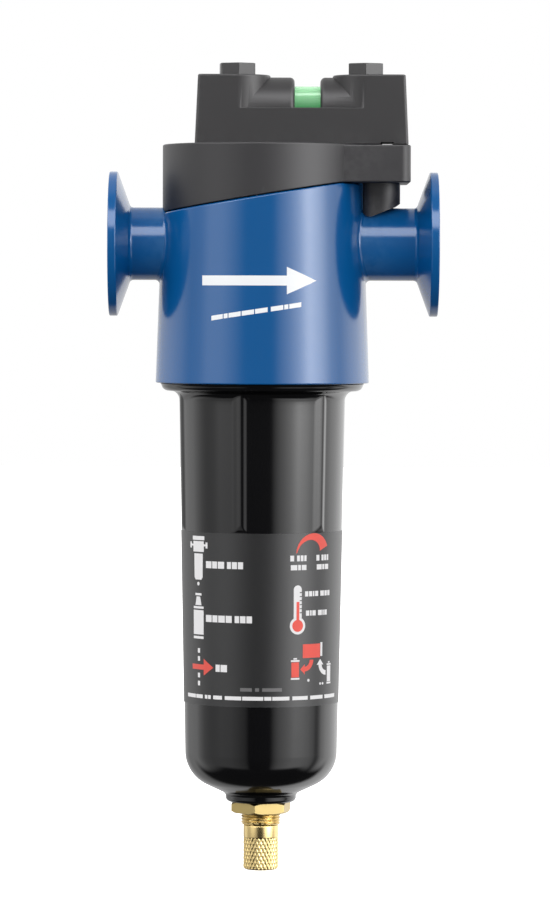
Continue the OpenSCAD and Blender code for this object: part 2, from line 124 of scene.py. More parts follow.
# Bowl
COLLAR_R = 35.7
COLLAR_TOP = -48.7
COLLAR_ROUND = 2.7
COLLAR_FILLET = 3.3
WALL_TOP_Z = -53.5
WALL_TOP_R = 29.05
WALL_LOW_Z = -178.0
WALL_LOW_R = 26.7
BOWL_WALL = 3.0
KNUCKLE_R = 12.8
BOSS_R = 12.4
BOSS_BOTTOM = -195.8
RIBS = 6
FIRST_RIB = math.radians(-104.2)
RIB_HEIGHT = 0.76
RIB_GENTLE = 3.9
RIB_STEEP = 2.6
RIB_END = -100.2
RIB_RAMP = 2.8
LABEL_Z = (-100.3, -160.5)
LABEL_FILM = 0.15
LABEL_NEAR = 0.02

# Drain
STEM_R = 7.0
KNOB_R = 6.15
KNOB_BOTTOM = -219.7
KNURL_TOP = -208.4
KNURLS = 28

FULL_TURN = 2 * math.pi
FRONT = -math.pi / 2


# ---------------------------------------------------------------- shapes

def arc(cx, cy, r, a0, a1, n=8):
    """Points along an arc round (cx, cy) from angle a0 to a1, in degrees, in n steps."""
    angles = np.radians(np.linspace(a0, a1, n + 1))
    return [(cx + r * math.cos(a), cy + r * math.sin(a)) for a in angles]


def between(p, q, n):
    """n points from p towards q, without q."""
    return [(p[0] + (q[0] - p[0]) * i / n, p[1] + (q[1] - p[1]) * i / n) for i in range(n)]


def bend(p, corner, q, n=6):
    """A rounded corner from p to q that bends round the point corner."""
    points = []
    for i in range(n + 1):
        t = i / n
        shares = ((1 - t) ** 2, 2 * t * (1 - t), t * t)
        points.append(tuple(shares[0] * a + shares[1] * b + shares[2] * c for a, b, c in zip(p, corner, q)))
    return points


def even_angles(n):
    return [FULL_TURN * i / n for i in range(n)]


def ring_faces(rings, count, closed=True):
    """Quads between neighbouring rings of count points, and from the last back to the first if closed."""
    faces = []
    for i in range(rings if closed else rings - 1):
        here, there = i * count, (i + 1) % rings * count
        for j in range(count):
            k = (j + 1) % count
            faces.append((here + j, here + k, there + k, there + j))
    return faces


def revolve(profile, angles=None, closed=True):
    """A shell of (vertices, faces): closed outlines of (radius, height) points turned about Z.
    profile is a list of points, or a function that gives the list for each angle."""
    angles = even_angles(192) if angles is None else angles
    rings = [profile(a) if callable(profile) else profile for a in angles]
    count = len(rings[0])
    vertices = [(r * math.cos(a), r * math.sin(a), z) for a, ring in zip(angles, rings) for r, z in ring]
    faces = ring_faces(len(angles), count, closed)
    if not closed:
        faces.append(tuple(range(count)))
        faces.append(tuple((len(angles) - 1) * count + j for j in reversed(range(count))))
    return vertices, faces


def prism(outlines):
    """A shell through a stack of 3-D outlines with the same number of points, with flat ends."""
    count = len(outlines[0])
    vertices = [p for outline in outlines for p in outline]
    faces = ring_faces(len(outlines), count, closed=False)
    faces.append(tuple(reversed(range(count))))
    faces.append(tuple((len(outlines) - 1) * count + j for j in range(count)))
    return vertices, faces


def extrude(outline, z0, z1):
    """A straight prism on a plan outline."""
    return prism([[(x, y, z) for x, y in outline] for z in (z0, z1)])


def extrude_y(outline, half):
    """A straight prism through -half to +half along Y on an outline in X and Z."""
    return prism([[(x, y, z) for x, z in outline] for y in (-half, half)])


def rod(r, z0, z1, x=0.0, n=96):
    return moved(revolve([(0, z0), (r, z0), (r, z1), (0, z1)], even_angles(n)), x)


def tube(r_out, r_in, z0, z1, x):
    """An upright tube whose top edges are chamfered."""
    edge = 0.3
    outline = [(r_in, z0), (r_out, z0), (r_out, z1 - edge), (r_out - edge, z1),
               (r_in + edge, z1), (r_in, z1 - edge)]
    return moved(revolve(outline, even_angles(96)), x)


def ball(r):
    return revolve([(0, -r)] + arc(0, 0, r, -90, 90, 24)[1:-1] + [(0, r)], even_angles(96))


def moved(shell, x=0.0, y=0.0, z=0.0):
    vertices, faces = shell
    return [(a + x, b + y, c + z) for a, b, c in vertices], faces


def along_x(shell, x=0.0, z=0.0, mirrored=False):
    """Lays a shell that was turned about Z along the X axis, with its +Z end towards +X or, mirrored, -X."""
    vertices, faces = shell
    sign = -1 if mirrored else 1
    return [(x + sign * c, b, z + a) for a, b, c in vertices], faces


def x_rod(r, x0, x1, z=0.0, n=96):
    return along_x(revolve([(0, x0), (r, x0), (r, x1), (0, x1)], even_angles(n)), 0.0, z)


def merged(*shells):
    """One shell of several that overlap."""
    vertices, faces = [], []
    for shell_vertices, shell_faces in shells:
        start = len(vertices)
        vertices.extend(shell_vertices)
        faces.extend(tuple(start + i for i in face) for face in shell_faces)
    return vertices, faces


def clean_mesh(name, shell):
    """A mesh of a shell, with its doubled points merged and its faces turned outwards."""
    mesh = bpy.data.meshes.new(name)
    mesh.from_pydata(shell[0], [], shell[1])
    work = bmesh.new()
    work.from_mesh(mesh)
    bmesh.ops.remove_doubles(work, verts=work.verts, dist=1e-4)
    bmesh.ops.dissolve_degenerate(work, edges=work.edges, dist=1e-5)
    bmesh.ops.recalc_face_normals(work, faces=work.faces)
    work.to_mesh(mesh)
    work.free()
    return mesh


def temporary(shell):
    item = bpy.data.objects.new("temporary", clean_mesh("temporary", shell))
    bpy.context.scene.collection.objects.link(item)
    return item


def boolean(shell, operation, *others):
    """shell with the other shells joined to it or cut from it, by exact Booleans."""
    base = temporary(shell)
    helpers = [temporary(other) for other in others]
    for helper in helpers:
        step = base.modifiers.new("step", "BOOLEAN")
        step.operation = operation
        step.solver = "EXACT"
        step.object = helper
    bpy.context.view_layer.update()
    result = bpy.data.meshes.new_from_object(base.evaluated_get(bpy.context.evaluated_depsgraph_get()))
    vertices = [tuple(v.co) for v in result.vertices]
    faces = [tuple(p.vertices) for p in result.polygons]
    for item in [base, *helpers]:
        bpy.data.objects.remove(item)
    bpy.data.meshes.remove(result)
    return vertices, faces


def cut(shell, *tools):
    return boolean(shell, "DIFFERENCE", *tools)


def joined(shell, *others):
    return boolean(shell, "UNION", *others)


def overlap(shell, other):
    return boolean(shell, "INTERSECT", other)


def add_piece(name, shell, body, slot, replaces=(), paint=None, sharp=35, weighted=True):
    """Adds a shell to the scene as a piece that rides on a body and stands for the CAD nodes in replaces.
    It has the material of its slot unless paint names another."""
    mesh = clean_mesh(name, shell)
    mesh.transform(Matrix.Scale(MM, 4) @ Matrix.Translation((AXIS_X, 0, 0)))
    mesh.polygons.foreach_set("use_smooth", [True] * len(mesh.polygons))
    mesh.set_sharp_from_angle(angle=math.radians(sharp))
    mesh.materials.append(MATERIALS[paint or slot])
    piece = bpy.data.objects.new(name, mesh)
    bpy.context.scene.collection.objects.link(piece)
    if weighted:
        normals = piece.modifiers.new("normals", "WEIGHTED_NORMAL")
        normals.keep_sharp = True
    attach(piece, body)
    if replaces:
        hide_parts(*replaces)
    return piece


# ---------------------------------------------------------------- materials

class Nodes:
    """A short way to write a node tree."""
    def __init__(self, tree):
        self.tree = tree
        tree.nodes.clear()

    def add(self, kind, settings=None, **inputs):
        """A node of a kind. Inputs are given by name with _ for a space, or by number as i0, i1 and so on."""
        node = self.tree.nodes.new(kind)
        for key, value in (settings or {}).items():
            setattr(node, key, value)
        for key, value in inputs.items():
            by_number = key[0] == "i" and key[1:].isdigit()
            socket = node.inputs[int(key[1:]) if by_number else key.replace("_", " ")]
            if isinstance(value, bpy.types.NodeSocket):
                self.tree.links.new(value, socket)
            else:
                socket.default_value = value
        return node

    def math(self, operation, a, b=0.0):
        return self.add("ShaderNodeMath", {"operation": operation}, i0=a, i1=b).outputs[0]

    def range(self, value, low, high, to_low=0.0, to_high=1.0):
        node = self.add("ShaderNodeMapRange", {"interpolation_type": "SMOOTHSTEP"}, Value=value)
        for key, number in zip(("From Min", "From Max", "To Min", "To Max"), (low, high, to_low, to_high)):
            node.inputs[key].default_value = number
        return node.outputs[0]

    def noise(self, place, scale, detail=3.0, rough=0.5):
        node = self.add("ShaderNodeTexNoise", Vector=place, Scale=scale, Detail=detail, Roughness=rough)
        return node.outputs[0]

    def mix(self, share, a, b):
        node = self.add("ShaderNodeMix", {"data_type": "RGBA"})
        for index, value in ((0, share), (6, a), (7, b)):
            if isinstance(value, bpy.types.NodeSocket):
                self.tree.links.new(value, node.inputs[index])
            else:
                node.inputs[index].default_value = value
        return node.outputs[2]


def color(r, g, b):
    """A colour from its 0 to 255 display values."""
    def linear(value):
        value /= 255
        return value / 12.92 if value <= 0.04045 else ((value + 0.055) / 1.055) ** 2.4
    return (linear(r), linear(g), linear(b), 1.0)


def material(name, base, rough, metal=0.0, grain=900, grain_depth=0.01, tint=0.08, wear=0.0, wear_color=None,
             rough_spread=0.08, specular=0.5, extra=None):
    """A procedural material. grain is the texture's scale per metre, and grain_depth its bumps' height in mm.
    tint is the share by which the colour drifts, and wear the share of wear_color on convex edges."""
    made = bpy.data.materials.new(name)
    made.use_nodes = True
    n = Nodes(made.node_tree)
    place = n.add("ShaderNodeTexCoord").outputs["Object"]
    drift = n.noise(place, 45.0, 2.0)
    fine = n.noise(place, grain, 3.0, 0.6)
    shade = n.math("ADD", 1.0 - tint, n.math("MULTIPLY", drift, 2 * tint))
    tone = n.add("ShaderNodeHueSaturation", Color=base, Value=shade).outputs[0]
    if wear:
        edges = n.range(n.add("ShaderNodeNewGeometry").outputs["Pointiness"], 0.52, 0.62)
        patches = n.math("MULTIPLY", edges, n.range(n.noise(place, 300.0), 0.35, 0.65, 0.4, 1.0))
        tone = n.mix(n.math("MULTIPLY", patches, wear), tone, wear_color)
    roughness = n.math("ADD", rough - rough_spread / 2, n.math("MULTIPLY", fine, rough_spread))
    bump = n.add("ShaderNodeBump", Strength=1.0, Distance=grain_depth * MM, Height=fine).outputs[0]
    shader = n.add("ShaderNodeBsdfPrincipled", Base_Color=tone, Roughness=roughness, Metallic=metal,
                   Normal=bump)
    shader.inputs["Specular IOR Level"].default_value = specular
    if extra:
        extra(n, shader, place)
    n.add("ShaderNodeOutputMaterial", Surface=shader.outputs[0])
    return made


def banded(n, shader, place):
    """The piston's colours: a red band up to RED_END, then a green one."""
    red_end = (AXIS_X + RED_END) * MM
    x = n.add("ShaderNodeSeparateXYZ", Vector=place).outputs[0]
    share = n.range(x, red_end - 0.05 * MM, red_end + 0.05 * MM)
    tone = n.mix(share, color(196, 44, 36), color(40, 165, 95))
    n.tree.links.new(tone, shader.inputs["Base Color"])


def clear_green_painted_glow(n, shader, place):
    """Clear acrylic with a painted glow: a faint green emission brightens the whole tube, its shaded lower
    half too.
    """
    shader.inputs["Transmission Weight"].default_value = 0.6
    shader.inputs["IOR"].default_value = 1.49
    # Painted glow: a green emission that lightens the tube where it lies in shade
    shader.inputs["Emission Color"].default_value = color(80, 205, 125)
    shader.inputs["Emission Strength"].default_value = 0.14


EDGE_GREY = color(90, 89, 91)
INK = {"grain": 2500, "grain_depth": 0.003, "tint": 0.03}

# Name: colour, roughness and the rest of material()'s settings
LOOKS = {
    "blue_paint": (color(7, 80, 138), 0.16, {
        "grain": 240, "grain_depth": 0.004, "tint": 0.05,
        "wear": 0.35, "wear_color": color(90, 140, 185), "rough_spread": 0.05}),
    "black_paint": (color(11, 11, 13), 0.11, {
        "grain": 240, "grain_depth": 0.004, "tint": 0.1,
        "wear": 0.3, "wear_color": color(60, 60, 62), "rough_spread": 0.05}),
    "cover_plastic": (color(32, 31, 33), 0.48, {
        "grain": 2400, "grain_depth": 0.004, "tint": 0.04, "wear": 0.25, "wear_color": EDGE_GREY}),
    "housing_plastic": (color(36, 35, 36), 0.46, {
        "grain": 2400, "grain_depth": 0.004, "tint": 0.04, "wear": 0.25, "wear_color": EDGE_GREY}),
    # The sight glass's extra paints a faint green glow into it, which lightens its shaded side
    "sight_glass": (color(205, 236, 208), 0.08, {
        "grain": 400, "grain_depth": 0.002, "tint": 0.02, "rough_spread": 0.02, "extra": clear_green_painted_glow}),
    "piston_green": (color(40, 165, 95), 0.35, {"grain": 1500, "grain_depth": 0.005, "extra": banded}),
    "rubber": (color(20, 20, 21), 0.65, {"grain": 1800, "grain_depth": 0.01, "specular": 0.3}),
    "spring_steel": (color(170, 170, 172), 0.28, {"metal": 1.0, "grain": 3000, "grain_depth": 0.002}),
    "plug_plastic": (color(40, 40, 42), 0.45, {"grain": 2000, "grain_depth": 0.01}),
    "screw_black": (color(38, 37, 38), 0.4, {
        "grain": 1600, "grain_depth": 0.008, "wear": 0.5, "wear_color": color(120, 120, 118)}),
    "label_film": (color(30, 30, 31), 0.37, {"grain": 1200, "grain_depth": 0.003, "tint": 0.06}),
    "cap_plastic": (color(34, 34, 38), 0.48, {"grain": 1600, "grain_depth": 0.01}),
    "core_steel": (color(190, 190, 192), 0.3, {"metal": 1.0, "grain": 1400, "grain_depth": 0.004}),
    "media": (color(236, 232, 222), 0.85, {"grain": 2600, "grain_depth": 0.05, "specular": 0.2}),
    "sleeve_foam": (color(122, 48, 48), 0.95, {"grain": 1500, "grain_depth": 0.25, "specular": 0.1}),
    "brass": (color(200, 178, 124), 0.25, {
        "metal": 1.0, "grain": 700, "grain_depth": 0.006, "tint": 0.07,
        "wear": 0.2, "wear_color": color(238, 228, 190), "rough_spread": 0.12}),
    "dull_brass": (color(176, 156, 104), 0.36, {
        "metal": 1.0, "grain": 700, "grain_depth": 0.006,
        "wear": 0.25, "wear_color": color(225, 210, 165), "rough_spread": 0.12}),
    "acetal": (color(232, 230, 224), 0.42, {"grain": 900, "grain_depth": 0.005, "tint": 0.03}),
    "float_foam": (color(240, 238, 230), 0.7, {"grain": 1300, "grain_depth": 0.06, "tint": 0.04}),
    "ink_white": (color(214, 213, 214), 0.5, INK),
    "ink_grey": (color(96, 95, 96), 0.5, INK),
    "ink_red": (color(206, 70, 58), 0.5, INK),
    "ink_black": (color(30, 30, 31), 0.4, INK),
    "paint_white": (color(226, 228, 230), 0.4, INK),
}
MATERIALS = {name: material(name, base, rough, **rest) for name, (base, rough, rest) in LOOKS.items()}


def dress_cad_nodes():
    """Every CAD node gets the procedural material of its slot in the record."""
    for subpart in frame["record"]["subparts"]:
        piece = nodes[subpart["node"]]
        chosen = MATERIALS[subpart["material_slot"]]
        if not piece.data.materials:
            piece.data.materials.append(chosen)
        for holder in piece.material_slots:
            holder.material = chosen


# ---------------------------------------------------------------- head

def joint_height(x):
    """Height of the joint between head and cover: sloping, and level on the outlet side."""
    return min(JOINT_Z + JOINT_SLOPE * x, JOINT_LEVEL)


def head_radius(z):
    return HEAD_BASE_R + (HEAD_TOP_R - HEAD_BASE_R) * (z - HEAD_BOTTOM) / (HEAD_CONE_TOP - HEAD_BOTTOM)


def groove_depth(z, angle, top, bottom):
    """Depth of a helical thread at a height and angle, fading in and out over one pitch at its ends."""
    phase = (z / BOWL_PITCH + angle / FULL_TURN) % 1.0
    flank = 0.28
    wave = np.interp(phase, [0, 0.1, 0.1 + flank, 0.52, 0.52 + flank, 1], [0, 0, 1, 1, 0, 0])
    fade = min(1.0, (top - z) / BOWL_PITCH, (z - bottom) / (0.3 * BOWL_PITCH))
    return THREAD_DEPTH * wave * max(0.0, fade)


def head_body_outline(angle):
    """Section of the head at one angle: bore, bottom edge, cone, rounded top edge, deck and roof."""
    edge = 0.8
    foot = 0.5
    top_r = 34.95
    c = math.cos(angle)
    z_edge = joint_height(top_r * c)
    wall_top = (head_radius(z_edge - edge), z_edge - edge)
    deck = (top_r - edge, joint_height((top_r - edge) * c))
    outline = [(THREAD_BORE_R + 1.6, HEAD_BOTTOM), (HEAD_BASE_R - foot, HEAD_BOTTOM)]
    outline += bend((HEAD_BASE_R - foot, HEAD_BOTTOM), (HEAD_BASE_R, HEAD_BOTTOM),
                    (head_radius(HEAD_BOTTOM + foot), HEAD_BOTTOM + foot))[1:]
    outline += between(outline[-1], wall_top, 8)[1:]
    outline += bend(wall_top, (top_r, z_edge), deck)
    for share in (0.9, 0.8, 0.65, 0.5, 0.35, 0.2, 0.1, 0.0):
        r = deck[0] * share
        outline.append((r, joint_height(r * c)))
    outline.append((0.0, JOINT_Z - ROOF_DROP))
    for share in (0.2, 0.5, 0.8, 1.0):
        r = CLEAN_R * share
        outline.append((r, joint_height(r * c) - ROOF_DROP))
    outline += [(CLEAN_R, LAND_TOP), (LAND_R, LAND_TOP), (LAND_R, LAND_BOTTOM + 1),
                (THREAD_BORE_R, LAND_BOTTOM)]
    thread_bottom = HEAD_BOTTOM + 0.6
    rows = 56
    for z in np.linspace(LAND_BOTTOM, thread_bottom, rows + 1)[1:-1]:
        outline.append((THREAD_BORE_R + groove_depth(z, angle, LAND_BOTTOM, thread_bottom), z))
    outline.append((THREAD_BORE_R, thread_bottom))
    return outline


def ferrule_shell(face_x, mirrored):
    """A clamp ferrule and its neck, from the face back into the wall of the head."""
    face = abs(face_x)
    root = 30.5
    cone_root = (NECK_R + 1.2, face - 7.0)
    outline = [(PORT_R, root), (PORT_R, face - 0.3), (PORT_R + 0.3, face), (20.4, face), (20.9, face - 1.3),
               (22.6, face - 1.3), (23.1, face), (FERRULE_R - 0.45, face)]
    outline += bend(outline[-1], (FERRULE_R, face), (FERRULE_R, face - 0.45), 5)[1:]
    outline += bend((FERRULE_R, face - FERRULE_T + 0.4), (FERRULE_R, face - FERRULE_T),
                    (FERRULE_R - 0.45, face - FERRULE_T - 0.15), 5)
    outline += bend(cone_root, (NECK_R, face - 7.35), (NECK_R, face - 8.6), 7)
    outline += [(NECK_R, root)]
    return along_x(revolve(outline, even_angles(160)), mirrored=mirrored)


def neck_fillet(side):
    """The small cast fillet where a neck meets the cone. side is 1 at the outlet and -1 at the inlet."""
    full = 1.5
    steps = 120
    across = 7
    buried = 1.2
    vertices = []
    for a in even_angles(steps):
        y, z = math.cos(a), math.sin(a)
        deck_gap = joint_height(side * HEAD_TOP_R) - (NECK_R + full) * z
        f = full * min(1.0, max(0.03, deck_gap / 2.5))
        off = NECK_R + f
        reach = math.sqrt((head_radius(off * z) + f) ** 2 - (off * y) ** 2)
        centre = Vector((reach, off * y, off * z))
        to_neck = Vector((0, -y, -z))
        to_body = -Vector((centre.x, centre.y, 0)).normalized()
        ring = [centre + f * to_neck.slerp(to_body, j / across) for j in range(across + 1)]
        ring.append(ring[-1] + buried * to_body)
        ring.append(ring[0] + buried * to_neck)
        vertices += [(side * p.x, p.y, p.z) for p in ring]
    return vertices, ring_faces(steps, len(ring))


def head_elbow():
    """The inlet elbow and the cartridge socket that hang in the clean-air space."""
    outer_r = 13.9
    inner_r = 12.2
    socket_r = 12.0
    mouth = -24.0
    outside = joined(ball(outer_r), x_rod(NECK_R, -31, 0), rod(socket_r + 1.6, mouth, 0))
    bores = [x_rod(PORT_R, -60, 0), rod(11.4, mouth - 1, 0), rod(socket_r, mouth - 1, -12)]
    return cut(outside, ball(inner_r), *bores)


def turret(x, r):
    """A cast turret that carries the indicator. Its foot follows the head, or the outlet neck."""
    foot = 12.5 if x < 0 else 9.0
    plain = tube(r, TURRET_BORE_R, foot, TURRET_TOP, x)
    return plain if x < 0 else cut(plain, x_rod(PORT_R + 0.4, 20, 60))


def build_head():
    body = cut(revolve(head_body_outline, even_angles(240)),
               x_rod(PORT_R, -60, -20), x_rod(PORT_R, 18, 60),
               *[rod(TURRET_BORE_R, 20, 40, x) for x in SCREWS_X], *[rod(1.5, 5, 21, x) for x in SCREWS_X])
    parts = [body, ferrule_shell(INLET_X, True), ferrule_shell(OUTLET_X, False), head_elbow()]
    parts += [neck_fillet(side) for side in (-1, 1)]
    parts += [turret(x, r) for x, r in zip(SCREWS_X, TURRETS_R)]
    add_piece("head_visual", merged(*parts), "head", "blue_paint", ["head_casting"])


# ---------------------------------------------------------------- cover

def cover_outline(angle):
    edge = 0.6
    lip = 0.25
    c = math.cos(angle)
    inner = COVER_R - COVER_WALL

    def foot(r):
        return joint_height(r * c) + COVER_GAP
    outline = [(0.0, COVER_TOP - COVER_WALL), (inner, COVER_TOP - COVER_WALL), (inner, foot(inner))]
    low = foot(COVER_R)
    outline += bend((COVER_R - lip, low), (COVER_R, low), (COVER_R, low + lip), 3)
    outline += between(outline[-1], (COVER_R, COVER_TOP - edge), 5)[1:]
    outline += bend((COVER_R, COVER_TOP - edge), (COVER_R, COVER_TOP), (COVER_R - edge, COVER_TOP))
    outline.append((0.0, COVER_TOP))
    return outline


def rounded_top(level, top, edge, steps):
    """The last outlines of a prism, which round its top edge off. level takes a height and an inset."""
    return [level(top - edge * (1 - math.sin(a)), edge * (1 - math.cos(a))) for a in np.radians(steps)]


def rounded_box(x0, x1, half, r, z0, z1, edge):
    """A box whose two corners at x1 have the plan radius r, with small rounded edges at top and bottom."""
    def level(z, inset):
        k = max(r - inset, 0.1)
        plan = [(x0, half - inset), (x0, inset - half)]
        plan += arc(x1 - r, r - half, k, -90, 0, 10)
        plan += arc(x1 - r, half - r, k, 0, 90, 10)
        return [(x, y, z) for x, y in plan]
    steps = (0, 22.5, 45, 67.5, 90)
    levels = [level(z0 + edge * (1 - math.cos(a)), edge * (1 - math.sin(a))) for a in np.radians(steps)]
    return prism(levels + rounded_top(level, z1, edge, steps))


def arm_lug():
    """The block under the arm that straddles the outlet neck. Its foot slopes up towards the outlet."""
    centre_x = 41.3
    r = 6.7
    small_r = 4.0
    half = 9.9
    small_x = centre_x - r + small_r
    plan = arc(small_x, small_r - half, small_r, 180, 270, 12) + arc(centre_x, r - half, r, 270, 360, 12)
    plan += arc(centre_x, half - r, r, 0, 90, 12) + arc(small_x, half - small_r, small_r, 90, 180, 12)
    end_x = centre_x + r + 1
    side = arc(37.3, 12.4, 2.8, 190, 292, 10) + [(46.6, 13.2), (end_x, 14.9), (end_x, 24), (34, 24)]
    block = overlap(extrude(plan, 5, 22), extrude_y(side, 15))
    return cut(block, x_rod(NECK_R + COVER_GAP, 28, 60), rod(HEAD_TOP_R + 0.8, 0, JOINT_LEVEL))


def build_cover():
    round_r = 3.4
    holes = [rod(r, 15, 40, x) for x, r in zip(SCREWS_X, TURRET_HOLES_R)]
    shell = cut(revolve(cover_outline, even_angles(240)), x_rod(NECK_R + COVER_GAP, -45, -20), *holes)
    arm = cut(rounded_box(27.0, ARM_X, ARM_HALF, round_r, JOINT_LEVEL + COVER_GAP, ARM_TOP, 0.6), holes[1])
    lug = cut(arm_lug(), holes[1])
    add_piece("cover_visual", merged(shell, arm, lug), "head", "cover_plastic", ["head_cover"])


# ---------------------------------------------------------------- indicator

def boss_shell(screw_x, end_x):
    """A screw boss: flat and drafted at the end of the housing, round about the screw on the inside."""
    outward = 1 if end_x > screw_x else -1
    corner = 1.0
    edge = 0.6
    z0, z1 = HOUSING_Z

    def level(z, inset):
        x = end_x - outward * (HOUSING_DRAFT * (z - z0) / (z1 - z0) + inset)
        half = HOUSING_HALF - inset
        inside = arc(screw_x, 0, half, 90, 270, 40) if outward > 0 else arc(screw_x, 0, half, -90, 90, 40)
        first = arc(x - outward * corner, outward * (corner - half), corner, -90 if outward > 0 else 90,
                    0 if outward > 0 else 180, 5)
        second = [(px, -py) for px, py in reversed(first)]
        return [(px, py, z) for px, py in inside + first + second]
    return prism([level(z0, 0.0), level(z1 - edge, 0.0)] + rounded_top(level, z1, edge, (22.5, 45, 67.5, 90)))


def housing_block():
    """The lower part of the housing, a drafted box."""
    z0 = HOUSING_Z[0]
    draft = HOUSING_DRAFT * (LEDGE_Z - z0) / (HOUSING_Z[1] - z0)
    edge = 0.35
    inset = 2.0
    x0, x1 = HOUSING_X[0] + inset + draft, HOUSING_X[1] - inset - draft

    def level(z, back):
        return [(x, y, z) for x, y in ((x0, back - HOUSING_HALF), (x1, back - HOUSING_HALF),
                                       (x1, HOUSING_HALF - back), (x0, HOUSING_HALF - back))]
    levels = [level(z0, 0.0), level(LEDGE_Z - edge, 0.0)]
    return prism(levels + rounded_top(level, LEDGE_Z, edge, (30, 60, 90)))


def crown(x0, x1, round_low, round_high):
    """A length of the half-round crown. The ends that face the window are rounded over."""
    r = CROWN_R
    outline = [(0.0, x0)]
    if round_low:
        outline += arc(r - round_low, x0 + round_low, round_low, -90, 0, 8)
    else:
        outline += [(r, x0)]
    if round_high:
        outline += arc(r - round_high, x1 - round_high, round_high, 0, 90, 8)
    else:
        outline += [(r, x1)]
    outline += [(0.0, x1)]
    return along_x(revolve(outline, even_angles(128)), z=LEDGE_Z)


def build_housing():
    round_over = 1.7
    z0, z1 = HOUSING_Z
    shell = joined(housing_block(),
                   boss_shell(SCREWS_X[0], HOUSING_X[0]),
                   boss_shell(SCREWS_X[1], HOUSING_X[1]),
                   crown(SCREWS_X[0], WINDOW_X[0], 0, round_over),
                   crown(WINDOW_X[1], SCREWS_X[1], round_over, 0))
    tools = [x_rod(SIGHT_R + 0.08, -1.0, 45, SIGHT_Z), x_rod(5.5, 44, 55, SIGHT_Z),
             x_rod(1.5, SCREWS_X[0], 0, SIGHT_Z)]
    for x in SCREWS_X:
        tools += [rod(4.3, 30, 65, x), rod(6.0, z1 - 1.0, 65, x), rod(6.2, 30, z0 + 1.45, x)]
    tools.append(extrude([(41.0, -20), (45.5, -20), (45.5, 20), (41.0, 20)], 30, z0 + 0.6))
    add_piece("housing_visual", cut(shell, *tools), "head", "housing_plastic", ["indicator_housing"])


# ---------------------------------------------------------------- bowl

def wall_radius(z):
    return WALL_TOP_R + (WALL_LOW_R - WALL_TOP_R) * (z - WALL_TOP_Z) / (WALL_LOW_Z - WALL_TOP_Z)


def rib_angles():
    return [FIRST_RIB + FULL_TURN * i / RIBS for i in range(RIBS)]


def rib_height(z, angle):
    """How far the grip ribs stand out of the wall: one gentle flank, one steep, and a ramp at the end."""
    side = 0.0
    for rib in rib_angles():
        away = math.remainder(angle - rib, FULL_TURN) * WALL_TOP_R
        side = max(side, 1 + away / RIB_GENTLE if away < 0 else 1 - away / RIB_STEEP)
    climb = min(1.0, max(0.0, (z - RIB_END) / RIB_RAMP))
    return RIB_HEIGHT * min(side * side * (3 - 2 * side), 1 - (1 - climb) ** 2)


def bowl_angles():
    """Even steps round the bowl, with close ones across each rib."""
    close = 0.26
    offsets = np.arange(-RIB_GENTLE, RIB_STEEP + 0.01, close)
    angles = even_angles(180)
    margin = 0.3
    for rib in rib_angles():
        away = [math.remainder(a - rib, FULL_TURN) * WALL_TOP_R for a in angles]
        angles = [a for a, mm in zip(angles, away) if not -RIB_GENTLE - margin < mm < RIB_STEEP + margin]
        angles += [(rib + offset / WALL_TOP_R) % FULL_TURN for offset in offsets]
    return sorted(angles)


def bowl_outline(angle):
    """Section of the bowl at one angle: neck, thread, collar, ribbed wall, bottom, boss and inside."""
    neck_r = LAND_R - 0.08
    thread_r = THREAD_BORE_R - 0.08
    inner = WALL_TOP_R - BOWL_WALL
    outline = [(25.0, -29.0), (neck_r - 0.5, -29.0), (neck_r, -29.5), (neck_r, -30.6), (27.2, -30.6),
               (27.2, -33.0), (neck_r, -33.0), (neck_r, -34.6), (thread_r - 0.3, -35.5)]
    rows = 50
    top, low = -35.6, COLLAR_TOP + 0.6
    for z in np.linspace(top, low, rows + 1):
        outline.append((thread_r - groove_depth(z, angle, top, low), z))
    outline += [(thread_r - 1, COLLAR_TOP + 0.5), (thread_r - 1, COLLAR_TOP)]
    outline += bend((COLLAR_R - 0.3, COLLAR_TOP), (COLLAR_R, COLLAR_TOP), (COLLAR_R, COLLAR_TOP - 0.3), 3)
    outline += arc(COLLAR_R - COLLAR_ROUND, COLLAR_TOP - 0.3, COLLAR_ROUND - 0.3, 0, -90, 10)[1:]
    fillet_z = COLLAR_TOP - COLLAR_ROUND - COLLAR_FILLET
    fillet = arc(WALL_TOP_R + COLLAR_FILLET, fillet_z, COLLAR_FILLET, 90, 180, 12)
    outline += [(max(r, wall_radius(z) + rib_height(z, angle)), z) for r, z in fillet[1:]]
    heights = [*np.linspace(-56, -94, 12), *np.linspace(-96.5, RIB_END, 14),
               *np.linspace(-110, WALL_LOW_Z, 6)]
    outline += [(wall_radius(z) + rib_height(z, angle), z) for z in heights]
    outline += arc(WALL_LOW_R - KNUCKLE_R, WALL_LOW_Z, KNUCKLE_R, 0, -65, 20)[1:]
    outline += bend((BOSS_R + 1.4, -192.2), (BOSS_R, -192.85), (BOSS_R, -194.0), 6)
    outline += arc(BOSS_R - 1.6, BOSS_BOTTOM + 1.6, 1.6, 0, -90, 8)[1:]
    outline += [(7.15, BOSS_BOTTOM), (7.15, -190.0), (11.35, -190.0)]
    outline += arc(WALL_LOW_R - KNUCKLE_R, WALL_LOW_Z, KNUCKLE_R - BOWL_WALL, -65, 0, 12)
    outline += [(inner, WALL_TOP_Z - 0.5), (25.0, -50.0)]
    return outline


def build_bowl():
    add_piece("bowl_visual", revolve(bowl_outline, bowl_angles()), "bowl", "black_paint", ["bowl"], sharp=40)


def build_label():
    top, low = LABEL_Z
    seam = math.radians(1)
    near, far = LABEL_NEAR, LABEL_NEAR + LABEL_FILM
    angles = [math.pi / 2 + seam + (FULL_TURN - 2 * seam) * i / 180 for i in range(181)]
    outline = [(wall_radius(top) + near, top), (wall_radius(top) + far, top),
               (wall_radius(low) + far, low), (wall_radius(low) + near, low)]
    add_piece("label_visual", revolve(outline, angles, closed=False), "bowl", "label_film", ["bowl_label"])


# ---------------------------------------------------------------- print on the film and the head
# Outlines are lists of (u, v) points: mm round the surface from the front, + to the outlet, and the height.

